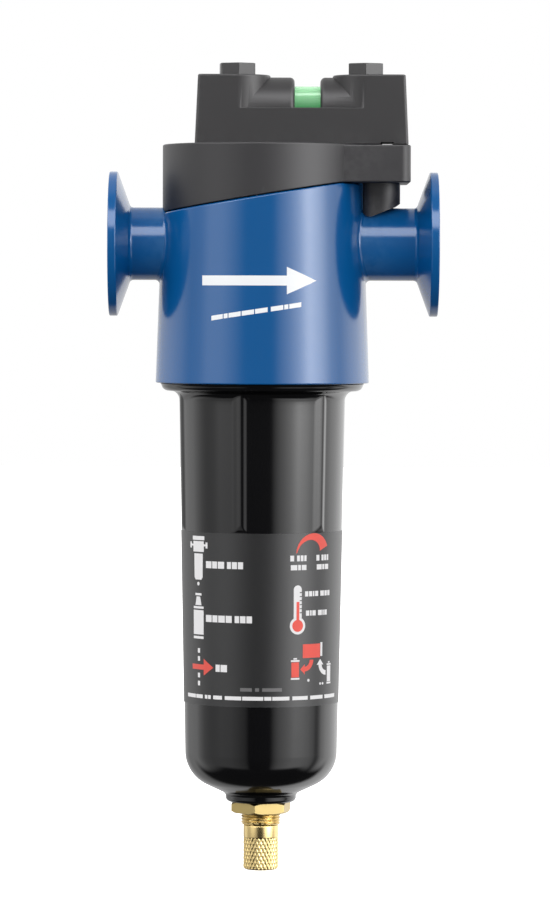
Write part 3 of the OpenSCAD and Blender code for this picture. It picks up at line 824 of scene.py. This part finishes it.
def bar(u0, v0, u1, v1):
    return [(u0, v0), (u1, v0), (u1, v1), (u0, v1)]


def disc(u, v, r, n=28):
    return arc(u, v, r, 0, 360 - 360 / n, n - 1)


def arc_band(u, v, r, a0, a1, width0, width1, n=16):
    """A curved stroke of outer radius r whose width runs from width0 to width1, as a row of quads."""
    quads = []
    for i in range(n):
        corners = []
        for j, side in ((i, 0), (i + 1, 0), (i + 1, 1), (i, 1)):
            a = math.radians(a0 + (a1 - a0) * j / n)
            reach = r - side * (width0 + (width1 - width0) * j / n)
            corners.append((u + reach * math.cos(a), v + reach * math.sin(a)))
        quads.append(corners)
    return quads


def bars_for_text(u0, v0, u1, v1, widths, slope=0.0):
    """A row of plain bars in place of wording. widths holds their relative widths, with 0 for a wide gap."""
    gap = 0.35
    wide_gap = 1.1
    filled = [w for w in widths if w]
    free = (u1 - u0) - gap * (len(filled) - 1) - (wide_gap - gap) * widths.count(0)
    row = []
    u = u0
    for w in widths:
        if not w:
            u += wide_gap - gap
            continue
        end = u + w * free / sum(filled)
        rise, fall = slope * (u - u0), slope * (end - u0)
        row.append([(u, v0 + rise), (end, v0 + fall), (end, v1 + fall), (u, v1 + rise)])
        u = end + gap
    return row


def wrapped(outlines, radius_at, lift):
    """Thin inlays that follow a surface of revolution: from just under it to lift mm above it."""
    step = 1.0
    sunk = -0.02
    work = bmesh.new()
    for outline in outlines:
        work.faces.new([work.verts.new((u, v, 0)) for u, v in outline])
    bmesh.ops.remove_doubles(work, verts=work.verts, dist=1e-4)
    low, high = (pick(v.co.x for v in work.verts) for pick in (min, max))
    for i in range(math.ceil(low / step), math.floor(high / step) + 1):
        bmesh.ops.bisect_plane(work, geom=work.verts[:] + work.edges[:] + work.faces[:], dist=1e-5,
                               plane_co=(i * step, 0, 0), plane_no=(1, 0, 0))
    work.verts.index_update()
    flat = [(v.co.x, v.co.y) for v in work.verts]
    tops = [tuple(v.index for v in f.verts) for f in work.faces]
    rims = [tuple(v.index for v in e.verts) for e in work.edges if len(e.link_faces) == 1]
    work.free()

    def place(u, v, above):
        r = radius_at(v)
        a = FRONT + u / r
        return ((r + above) * math.cos(a), (r + above) * math.sin(a), v)
    count = len(flat)
    vertices = [place(u, v, lift) for u, v in flat] + [place(u, v, sunk) for u, v in flat]
    faces = tops + [tuple(count + i for i in reversed(face)) for face in tops]
    faces += [(a, b, count + b, count + a) for a, b in rims]
    return vertices, faces


def film_radius(z):
    return wall_radius(z) + LABEL_NEAR + LABEL_FILM


def filter_sign():
    """A plain filter: cap, head with two ports, bowl and a drop."""
    ports = [bar(-30.2, -105.8, -29.2, -103.7), bar(-29.2, -105.1, -28.1, -104.4),
             bar(-22.3, -105.1, -21.4, -104.4), bar(-21.4, -105.8, -20.5, -103.7)]
    bowl = [(-27.5, -107.7), (-27.4, -116.0), (-26.7, -116.8), (-23.6, -116.8), (-22.9, -116.0),
            (-22.8, -107.7)]
    cap = bar(-28.5, -103.0, -22.0, -101.6)
    head = bar(-28.1, -107.1, -22.3, -103.4)
    drop = disc(-25.15, -118.2, 0.65)
    return [cap, head, bowl, drop, *ports]


def cartridge_sign():
    """A plain cartridge: body between two caps, with its spigot."""
    spigot = [(-26.9, -125.7), (-23.5, -125.7), (-24.2, -122.7), (-26.2, -122.7)]
    top_cap = bar(-28.0, -126.9, -22.4, -126.1)
    body = bar(-28.0, -135.9, -22.4, -127.4)
    bottom_cap = bar(-28.0, -137.4, -22.4, -136.5)
    return [top_cap, body, bottom_cap, spigot, bar(-26.9, -122.3, -23.5, -121.5)]


def through_sign():
    """A dashed wall that an arrow passes through."""
    dashes = [bar(-25.5, v - 1.6, -24.3, v) for v in (-140.7, -143.5, -149.3, -152.1)]
    arrow = [bar(-28.9, -148.1, -22.3, -146.3), [(-22.3, -150.1), (-17.8, -147.2), (-22.3, -144.3)]]
    return dashes, arrow


def pressure_sign():
    """A gauge sector that widens as the pressure rises."""
    return arc_band(19.7, -107.6, 7.3, 176, 22, 0.3, 4.2, 24)


def temperature_sign():
    """A thermometer: its glass, its filling and its scale."""
    u, bulb_v = 13.1, -132.3
    half = 1.55
    stem = arc(u, -119.8, half, 0, 180, 12) + [(u - half, -130.0), (u + half, -130.0)]
    glass = [stem, disc(u, bulb_v, 3.0)]
    filling = [bar(u - 0.5, -130.6, u + 0.6, -124.0), disc(u, bulb_v, 2.1)]
    scale = [bar(u + 0.75, v - 0.35, u + half, v) for v in (-120.6, -122.0, -123.4, -124.8, -126.2, -127.6)]
    return glass, filling, scale


def can(u, half, top, low):
    """A cartridge seen from the side: neck, two caps and a body."""
    ends = [bar(u - 0.4 * half, top - 0.5, u + 0.4 * half, top),
            bar(u - half, top - 1.3, u + half, top - 0.7),
            bar(u - half, low, u + half, low + 0.6)]
    return ends, bar(u - 0.88 * half, low + 0.8, u + 0.88 * half, top - 1.5)


def swap_sign():
    """The old cartridge out of its housing and the new one in."""
    old_ends, old_body = can(12.2, 1.65, -143.5, -151.0)
    new_ends, new_body = can(28.2, 1.3, -145.3, -153.1)
    way_out = arc_band(15.7, -144.3, 4.0, 0, -90, 1.6, 1.6, 10)
    way_out.append([(16.0, -149.3), (16.0, -145.7), (14.2, -147.5)])
    way_in = arc_band(26.2, -146.0, 3.9, 180, 270, 1.6, 1.6, 10)
    way_in.append([(21.4, -146.2), (24.8, -146.2), (23.1, -144.2)])
    dots = [disc(17.6, -151.4, 0.5), disc(23.2, -152.8, 0.45), disc(24.5, -152.8, 0.45)]
    white = old_ends + new_ends + [new_body] + way_in + dots + [bar(23.2, -143.2, 24.2, -138.4)]
    red = [old_body, bar(15.2, -143.6, 23.0, -138.8)] + way_out
    return white, red


def film_wording():
    """Rows of plain bars where a film carries wording."""
    name = [1.5, 1.2, 1.5, 0, 0.9, 1.1, 1.1]
    short_row = [1.3, 0, 1, 1, 0.8]
    rows = bars_for_text(-21.2, -112.6, -6.4, -110.2, name)
    rows += bars_for_text(-21.2, -131.3, -3.2, -128.9, [*name[:3], 1.3, *name[3:]])
    rows += bars_for_text(-16.8, -148.5, -12.2, -146.0, [0.8, 1.2])
    for u in (10.2, 20.9):
        rows += bars_for_text(u, -109.9, u + 6.3, -107.9, short_row)
        rows += bars_for_text(u + 0.2, -113.0, u + 6.3, -111.2, [1.4, 0.6, 1.1])
    rows += bars_for_text(16.0, -122.2, 28.2, -120.4, [1, 1, 0.5, 1.1, 0, 1.4, 1, 1])
    rows += bars_for_text(16.4, -128.9, 26.6, -127.1, [1, 0.5, 1.1, 0, 1.4, 0.5, 1])
    return rows


def foot_wording():
    """The long row of bars at the foot of the film, and the short grey one above it."""
    words = [5, 3, 0, 1, 1, 0, 3, 0, 5, 6, 2, 5, 0, 5, 0, 5, 0, 6]
    long_row = bars_for_text(-33.0, -158.1, 33.0, -156.8, words)
    return long_row, bars_for_text(-7.3, -155.0, 7.3, -153.8, [3, 0, 1, 0, 5])


def build_print():
    glass, filling, scale = temperature_sign()
    dashes, arrow = through_sign()
    swap_white, swap_red = swap_sign()
    foot, origin = foot_wording()
    flow_arrow = [(-22.0, -14.6), (8.5, -14.6), (8.5, -17.6), (19.5, -12.9), (8.5, -8.2), (8.5, -11.2),
                  (-22.0, -11.2)]
    series = bars_for_text(-18.2, -26.7, 13.7, -25.1, [3, 1, 3, 3, 3, 0, 3, 1, 3], slope=0.15)
    white = filter_sign() + cartridge_sign() + dashes + glass + swap_white + film_wording()
    red = arrow + pressure_sign() + filling + swap_red
    on_film = [("film_print_white", white, 0.03, "ink_white"), ("film_print_foot", foot, 0.03, "ink_white"),
               ("film_print_grey", origin, 0.03, "ink_grey"), ("film_print_red", red, 0.045, "ink_red"),
               ("film_print_scale", scale, 0.045, "ink_black")]
    for name, outlines, lift, ink in on_film:
        add_piece(name, wrapped(outlines, film_radius, lift), "bowl", "label_film", paint=ink, weighted=False)
    for name, outlines in (("head_flow_arrow", [flow_arrow]), ("head_bars", series)):
        add_piece(name, wrapped(outlines, head_radius, 0.05), "head", "blue_paint", paint="paint_white",
                  weighted=False)


# ---------------------------------------------------------------- drain

def knurl_depth(z, angle):
    """Depth of the diamond knurl: two crossing sets of slanted grooves."""
    rise = 1.34
    depth = 0.32
    turn = KNURLS * angle / FULL_TURN
    climb = z / rise
    left = abs((turn + climb / 2) % 1.0 - 0.5) * 2
    right = abs((turn - climb / 2) % 1.0 - 0.5) * 2
    return depth * max(left, right) ** 1.5


def knob_outline(angle):
    """Section of the knob at one angle: plain neck, knurl, mouth and bore."""
    edge = 0.5
    rows = 90
    outline = [(1.58, -197.5), (4.9, -197.5), (4.9, -204.0), (KNOB_R - 0.4, -204.0)]
    outline += bend((KNOB_R - 0.4, -204.0), (KNOB_R, -204.0), (KNOB_R, -204.5), 4)[1:]
    outline += [(KNOB_R, KNURL_TOP + 0.5)]
    outline += bend((KNOB_R, KNURL_TOP + 0.4), (KNOB_R, KNURL_TOP), (KNOB_R - 0.15, KNURL_TOP - 0.05), 3)
    low = KNOB_BOTTOM + edge
    for z in np.linspace(KNURL_TOP - 0.1, low, rows + 1)[1:]:
        ends = min(1.0, (KNURL_TOP - z) / 0.3)
        outline.append((KNOB_R - knurl_depth(z, angle) * ends, z))
    outline += [(KNOB_R - 0.55, KNOB_BOTTOM + 0.15), (KNOB_R - 0.9, KNOB_BOTTOM), (4.6, KNOB_BOTTOM),
                (4.3, KNOB_BOTTOM + 0.3), (4.3, -212.2), (3.0, -212.2), (3.0, -210.5), (1.58, -210.5)]
    return outline


def build_knob():
    knob = revolve(knob_outline, even_angles(10 * KNURLS))
    drip_at = 3.3
    drips = [moved(rod(0.9, -213.2, -196.5, n=24), drip_at * math.cos(a), drip_at * math.sin(a))
             for a in even_angles(3)]
    add_piece("knob_visual", cut(knob, *drips), "drain_knob", "brass", ["drain_knob"], sharp=60,
              weighted=False)


def stem_outline(angle):
    """Section of the stem at one angle: flange with its O-ring groove, thread and bore."""
    pitch = 1.0
    depth = 0.5
    outline = [(4.05, -186.9), (10.5, -186.9), (10.8, -187.2), (10.8, -189.9), (10.1, -189.9),
               (10.1, -188.25), (7.9, -188.25), (7.9, -189.9), (STEM_R, -189.9), (STEM_R, -196.3)]
    rows = 76
    top, low = -196.4, -203.7
    for z in np.linspace(top, low, rows + 1):
        phase = (z / pitch + angle / FULL_TURN) % 1.0
        wave = float(np.interp(phase, [0, 0.12, 0.5, 0.62, 1.0], [1, 1, 0, 0, 1]))
        fade = min(1.0, (top - z) / (0.3 * pitch))
        outline.append((STEM_R - depth * wave * fade, z))
    outline += [(STEM_R - 0.7, -203.9), (4.95, -203.9), (4.95, -195.0), (2.8, -195.0), (2.6, -195.15),
                (1.8, -195.0), (1.8, -189.3), (4.05, -189.3)]
    return outline


def build_stem():
    add_piece("stem_visual", revolve(stem_outline, even_angles(144)), "bowl", "brass", ["drain_stem"],
              sharp=50, weighted=False)


# ---------------------------------------------------------------- hexagons

HEX_CORNER_R = 0.35
HEX_CHAMFER = 0.58


def hex_radius(angle, flats, corner):
    """Radius of a hexagon with rounded corners at an angle. corner is where one corner points, in degrees."""
    sixth = FULL_TURN / 6
    turn = abs((angle - math.radians(corner) + sixth / 2) % sixth - sixth / 2)
    centre = (flats / 2 - HEX_CORNER_R) / math.cos(sixth / 2)
    flat_starts = math.atan2(HEX_CORNER_R * math.sin(sixth / 2), centre + HEX_CORNER_R * math.cos(sixth / 2))
    if turn > flat_starts:
        return flats / 2 / math.cos(sixth / 2 - turn)
    return centre * math.cos(turn) + math.sqrt(HEX_CORNER_R ** 2 - (centre * math.sin(turn)) ** 2)


def hex_angles(flats, corner):
    """Angles round a hexagon, close together at its rounded corners."""
    near = math.degrees(HEX_CORNER_R / flats)
    steps = [share * near for share in (-0.99, -0.66, -0.33, 0, 0.33, 0.66, 0.99)]
    steps += [7, 14, 22, 30, 38, 46, 53]
    return [math.radians(corner + 60 * side + step) for side in range(6) for step in steps]


def hex_side(angle, flats, corner, ring, z0, z1):
    """The side of a hexagon from z0 up to z1, chamfered outside the radius ring at both ends."""
    edge = 0.12
    row = 0.5
    r = hex_radius(angle, flats, corner)
    drop = HEX_CHAMFER * max(0.0, r - ring) + edge
    face = min(r, ring) - edge
    low, high = z0 + drop, z1 - drop
    return [(face, z0), (r, low), (r, low + row), (r, high - row), (r, high), (face, z1)]


def build_nut():
    flats = 19
    corner = 18
    bore = STEM_R + 0.05
    top = BOSS_BOTTOM - 0.03
    low = top - 3.8

    def outline(angle):
        side = hex_side(angle, flats, corner, 9.9, low, top)
        return [(bore, low + 0.4), (bore + 0.4, low), *side, (bore + 0.4, top), (bore, top - 0.4)]
    nut = revolve(outline, hex_angles(flats, corner))
    add_piece("nut_visual", nut, "bowl", "brass", ["drain_nut"], paint="dull_brass", sharp=25,
              weighted=False)


def build_screws():
    """The hollow screws, each with a threaded shank, a passage and the crossing port at the sight tube."""
    flats = 12
    under = HOUSING_Z[1] + 0.02
    top = under + 4.2
    shank_r = 4.0
    passage_r = 1.2
    passage_top = 53
    tip = 22
    pitch = 1.25
    depth = 0.6
    thread_low, thread_top = 22.6, 33.0
    rows = 72

    def screw(x, corner):
        def outline(angle):
            points = [(0, passage_top), (passage_r, passage_top), (passage_r, tip), (shank_r - depth, tip)]
            for z in np.linspace(thread_low, thread_top, rows + 1):
                phase = (z / pitch - angle / FULL_TURN) % 1.0
                fade = min(1.0, (thread_top - z) / pitch)
                points.append((shank_r - depth * fade * abs(2 * phase - 1), z))
            points += [(shank_r, thread_top + 0.2), (shank_r, under)]
            points += hex_side(angle, flats, corner, 6.6, under, top)
            return [*points, (0, top)]
        shell = revolve(outline, hex_angles(flats, corner))
        return moved(cut(shell, x_rod(0.9, -6, 6, SIGHT_Z, 32)), x)
    screws = merged(screw(SCREWS_X[0], 35), screw(SCREWS_X[1], 29))
    add_piece("screws_visual", screws, "head", "screw_black", ["hollow_screws"], sharp=25, weighted=False)


# ---------------------------------------------------------------- light, floor and camera

def brightness_round(n, share, sides):
    """Brightness by direction round the object, from a list of (degrees, brightness)."""
    brightest = max(level for _, level in sides)
    ramp = n.add("ShaderNodeValToRGB", Fac=share)
    stops = ramp.color_ramp.elements
    while len(stops) > 1:
        stops.remove(stops[-1])
    for index, (degrees, level) in enumerate(sides):
        stop = stops[0] if index == 0 else stops.new(degrees / 360 + 0.5)
        stop.position = degrees / 360 + 0.5
        stop.color = grey(level / brightest)
    return n.math("MULTIPLY", ramp.outputs[0], brightest)


def grey(level):
    return (level, level, level, 1.0)


def build_world():
    """A white studio: even light, and soft boxes to the sides and over the camera, seen as reflections."""
    # Degrees round the object, 0 towards the camera and + to the outlet, with the brightness above and below
    # the height of the camera
    above = [(-180, 1.0), (-145, 1.2), (-118, 1.5), (-100, 1.5), (-86, 0.8), (-72, 1.2), (-62, 2.3),
             (-46, 2.3), (-35, 1.5), (-25, 0.6), (-19, 0.12), (12, 0.12), (19, 1.3), (30, 3.0), (42, 6.2),
             (53, 12.0), (67, 8.0), (80, 3.2), (93, 2.0), (110, 2.5), (135, 2.3), (155, 1.6), (180, 1.0)]
    below = [(-180, 0.7), (-140, 0.7), (-113, 1.5), (-95, 0.8), (-80, 0.66), (-62, 0.76), (-48, 0.72),
             (-36, 0.56), (-24, 0.35), (-18, 0.03), (14, 0.05), (21, 0.7), (27, 1.15), (37, 1.5), (50, 1.95),
             (64, 1.9), (78, 1.45), (86, 1.0), (91, 0.35), (95, 0.5), (102, 1.6), (114, 2.2), (141, 1.8),
             (180, 0.7)]
    world = bpy.data.worlds.new("studio")
    bpy.context.scene.world = world
    world.use_nodes = True
    n = Nodes(world.node_tree)
    direction = n.add("ShaderNodeSeparateXYZ", Vector=n.add("ShaderNodeTexCoord").outputs["Generated"])
    x, y, z = direction.outputs
    share = n.math("ADD", n.math("DIVIDE", n.math("ARCTAN2", x, n.math("MULTIPLY", y, -1.0)), FULL_TURN), 0.5)
    front = n.range(y, 0.1, -0.25)
    low, high = (brightness_round(n, share, sides) for sides in (below, above))
    shown = n.mix(n.range(z, -0.16, 0.1), low, high)
    # A dark table under the object
    table = n.math("MULTIPLY", n.range(y, 0.6, 0.4), n.range(n.math("ABSOLUTE", x), 0.9, 0.7))
    depth = n.math("SUBTRACT", z, n.math("MULTIPLY", y, 0.37))
    table = n.math("MULTIPLY", table, n.range(depth, -0.34, -0.5))
    shown = n.mix(table, shown, grey(0.05))
    # The soft box over the camera, between two darker bands
    shown = n.mix(n.range(z, 0.37, 0.43), shown, grey(0.9))
    box = n.math("MULTIPLY", n.range(z, 0.42, 0.48), n.range(z, 0.83, 0.79))
    shown = n.mix(n.math("MULTIPLY", front, box), shown, (6.5, 6.5, 6.6, 1.0))
    shown = n.mix(n.math("MULTIPLY", front, n.range(z, 0.8, 0.84)), shown, grey(0.25))
    even = n.mix(n.range(z, 0.0, -0.5), grey(1.6), grey(0.3))
    ray = n.add("ShaderNodeLightPath").outputs
    level = n.mix(ray["Is Glossy Ray"], even, shown)
    level = n.mix(ray["Is Camera Ray"], level, grey(1.0))
    background = n.add("ShaderNodeBackground", Color=level, Strength=1.0)
    n.add("ShaderNodeOutputWorld", Surface=background.outputs[0])


def build_floor():
    """A plain pale floor that the drain knob's mouth touches."""
    reach = 4.0
    z = cad_box[0].z
    mesh = bpy.data.meshes.new("floor")
    corners = [(-reach, -reach, z), (reach, -reach, z), (reach, reach, z), (-reach, reach, z)]
    mesh.from_pydata(corners, [], [(0, 1, 2, 3)])
    floor = bpy.data.objects.new("floor", mesh)
    bpy.context.scene.collection.objects.link(floor)
    paint = bpy.data.materials.new("floor_paint")
    paint.use_nodes = True
    n = Nodes(paint.node_tree)
    place = n.add("ShaderNodeTexCoord").outputs["Object"]
    shade = n.mix(n.noise(place, 3.0), color(246, 246, 246), color(250, 250, 250))
    shader = n.add("ShaderNodeBsdfPrincipled", Base_Color=shade, Roughness=0.9)
    shader.inputs["Emission Color"].default_value = (1, 1, 1, 1)
    shader.inputs["Emission Strength"].default_value = 0.6
    n.add("ShaderNodeOutputMaterial", Surface=shader.outputs[0])
    mesh.materials.append(paint)
    floor.visible_glossy = False
    floor.visible_diffuse = False


def build_camera():
    """A long lens just below the height of the ports, aimed slightly down and rolled by 0.2 degrees."""
    distance = 1.65
    aim_z = -72.2
    eye_z = -20.0
    right = 4.55
    roll = math.radians(0.2)
    sensor = 36.0
    pixels_per_mm = 2.85
    frame_height = 900
    x = (AXIS_X + right) * MM
    data = bpy.data.cameras.new("camera")
    data.sensor_width = sensor
    data.lens = pixels_per_mm * (distance / MM) * sensor / frame_height
    camera = bpy.data.objects.new("camera", data)
    bpy.context.scene.collection.objects.link(camera)
    camera.location = (x, -distance, eye_z * MM)
    look = Vector((x, 0, aim_z * MM)) - camera.location
    camera.rotation_mode = "QUATERNION"
    camera.rotation_quaternion = look.to_track_quat("-Z", "Y") @ Matrix.Rotation(roll, 4, "Z").to_quaternion()
    bpy.context.scene.camera = camera
    bpy.context.scene.view_settings.view_transform = "Standard"


# ---------------------------------------------------------------- scene

dress_cad_nodes()
build_head()
build_cover()
build_housing()
build_bowl()
build_label()
build_print()
build_knob()
build_stem()
build_nut()
build_screws()
build_world()
build_floor()
build_camera()
